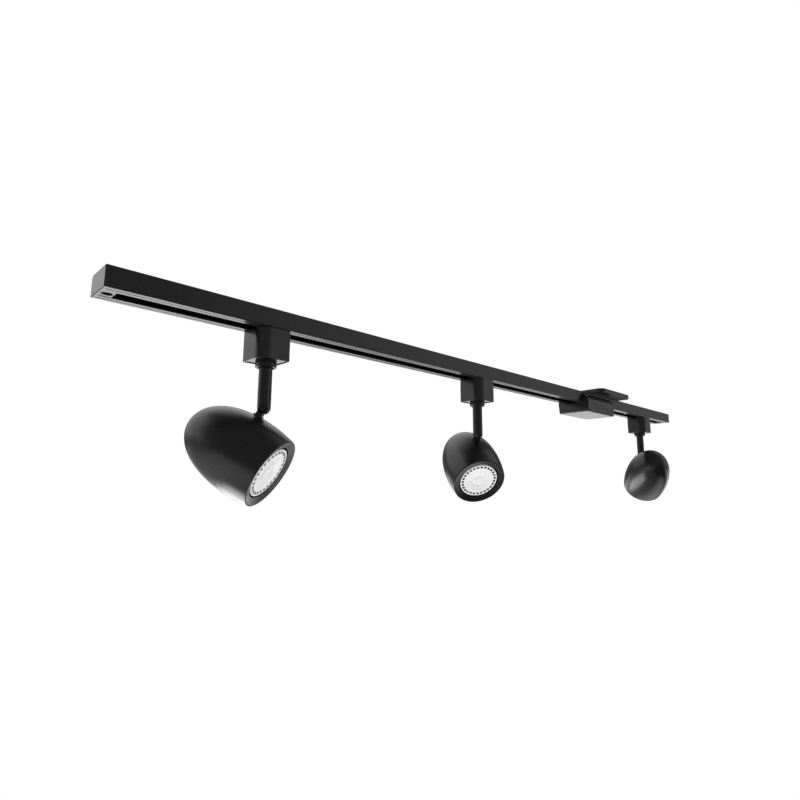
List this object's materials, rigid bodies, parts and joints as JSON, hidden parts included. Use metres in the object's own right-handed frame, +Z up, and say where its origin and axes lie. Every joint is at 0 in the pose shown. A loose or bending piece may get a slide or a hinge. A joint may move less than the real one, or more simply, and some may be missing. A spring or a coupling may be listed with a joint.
{
  "type": "track lighting fixture",
  "caption": "Ceiling track light: a slotted black track under a canopy and feed box, carrying bullet-shaped spot heads that slide, swivel and tilt.",
  "frame": {"origin": "middle of the crossbar's ceiling face, level with the canopy's rim", "axes": "+Z up into the ceiling, +X along the track towards its far end"},
  "size_m": [1.118, 0.1325, 0.1914],
  "materials": {
    "black_aluminium": "satin black powder coat",
    "black_steel": "satin black powder coat",
    "black_plastic": "fine moulded satin black",
    "liner_plastic": "matt black extrusion",
    "copper": "drawn copper strip",
    "brass": "stamped brass",
    "zinc_steel": "zinc plate",
    "socket_ceramic": "unglazed white ceramic",
    "lamp_white": "satin white moulding",
    "lamp_lens": "frosted lens with a moulded ring pattern"
  },
  "bodies": {
    "root": {"canopy_pan": "black_steel", "canopy_crossbar": "zinc_steel", "canopy_screws": "zinc_steel", "track_channel": "black_aluminium", "track_insulators": "liner_plastic", "track_conductors": "copper", "near_end_cap": "black_plastic", "far_end_cap": "black_plastic", "end_cap_screws": "zinc_steel", "feed_housing": "black_plastic", "feed_cover": "black_plastic", "feed_cover_screws": "black_steel", "feed_terminal_block": "liner_plastic", "feed_contacts": "brass"},
    "left_adapter": {"left_adapter_housing": "black_plastic", "left_adapter_carrier": "liner_plastic", "left_adapter_contacts": "brass", "left_swivel_collar": "black_steel"},
    "left_stem": {"left_stem": "black_steel", "left_stem_nut": "zinc_steel", "left_pivot_screw": "black_steel"},
    "left_head": {"left_knuckle_tongue": "black_steel", "left_head_shell": "black_aluminium", "left_front_ring": "black_aluminium", "left_lamp_holder": "socket_ceramic", "left_holder_screws": "zinc_steel", "left_lamp_body": "lamp_white", "left_lamp_lens": "lamp_lens", "left_lamp_pins": "zinc_steel"},
    "middle_adapter": {"middle_adapter_housing": "black_plastic", "middle_adapter_carrier": "liner_plastic", "middle_adapter_contacts": "brass", "middle_swivel_collar": "black_steel"},
    "middle_stem": {"middle_stem": "black_steel", "middle_stem_nut": "zinc_steel", "middle_pivot_screw": "black_steel"},
    "middle_head": {"middle_knuckle_tongue": "black_steel", "middle_head_shell": "black_aluminium", "middle_front_ring": "black_aluminium", "middle_lamp_holder": "socket_ceramic", "middle_holder_screws": "zinc_steel", "middle_lamp_body": "lamp_white", "middle_lamp_lens": "lamp_lens", "middle_lamp_pins": "zinc_steel"},
    "right_adapter": {"right_adapter_housing": "black_plastic", "right_adapter_carrier": "liner_plastic", "right_adapter_contacts": "brass", "right_swivel_collar": "black_steel"},
    "right_stem": {"right_stem": "black_steel", "right_stem_nut": "zinc_steel", "right_pivot_screw": "black_steel"},
    "right_head": {"right_knuckle_tongue": "black_steel", "right_head_shell": "black_aluminium", "right_front_ring": "black_aluminium", "right_lamp_holder": "socket_ceramic", "right_holder_screws": "zinc_steel", "right_lamp_body": "lamp_white", "right_lamp_lens": "lamp_lens", "right_lamp_pins": "zinc_steel"}
  },
  "joints": [
    {"name": "left_slide", "type": "slide", "parent": "root", "child": "left_adapter", "axis": [1, 0, 0], "range_m": [-0.115, 0.075]},
    {"name": "left_pan", "type": "hinge", "parent": "left_adapter", "child": "left_stem", "pos_m": [-0.6724, 0, -0.1], "axis": [0, 0, 1], "range_deg": [-175, 175]},
    {"name": "left_tilt", "type": "hinge", "parent": "left_stem", "child": "left_head", "pos_m": [-0.6724, 0, -0.1], "axis": [0.7891, 0.6143, 0], "range_deg": [-32.6, 57.4]},
    {"name": "middle_slide", "type": "slide", "parent": "root", "child": "middle_adapter", "axis": [1, 0, 0], "range_m": [-0.075, 0.2]},
    {"name": "middle_pan", "type": "hinge", "parent": "middle_adapter", "child": "middle_stem", "pos_m": [-0.3473, 0, -0.1], "axis": [0, 0, 1], "range_deg": [-175, 175]},
    {"name": "middle_tilt", "type": "hinge", "parent": "middle_stem", "child": "middle_head", "pos_m": [-0.3473, 0, -0.1], "axis": [0.8729, -0.4879, 0], "range_deg": [-40.3, 49.7]},
    {"name": "right_slide", "type": "slide", "parent": "root", "child": "right_adapter", "axis": [1, 0, 0], "range_m": [-0.14, 0.08]},
    {"name": "right_pan", "type": "hinge", "parent": "right_adapter", "child": "right_stem", "pos_m": [0.1795, 0, -0.1], "axis": [0, 0, 1], "range_deg": [-175, 175]},
    {"name": "right_tilt", "type": "hinge", "parent": "right_stem", "child": "right_head", "pos_m": [0.1795, 0, -0.1], "axis": [-0.6691, 0.7431, 0], "range_deg": [-37.4, 52.6]}
  ]
}
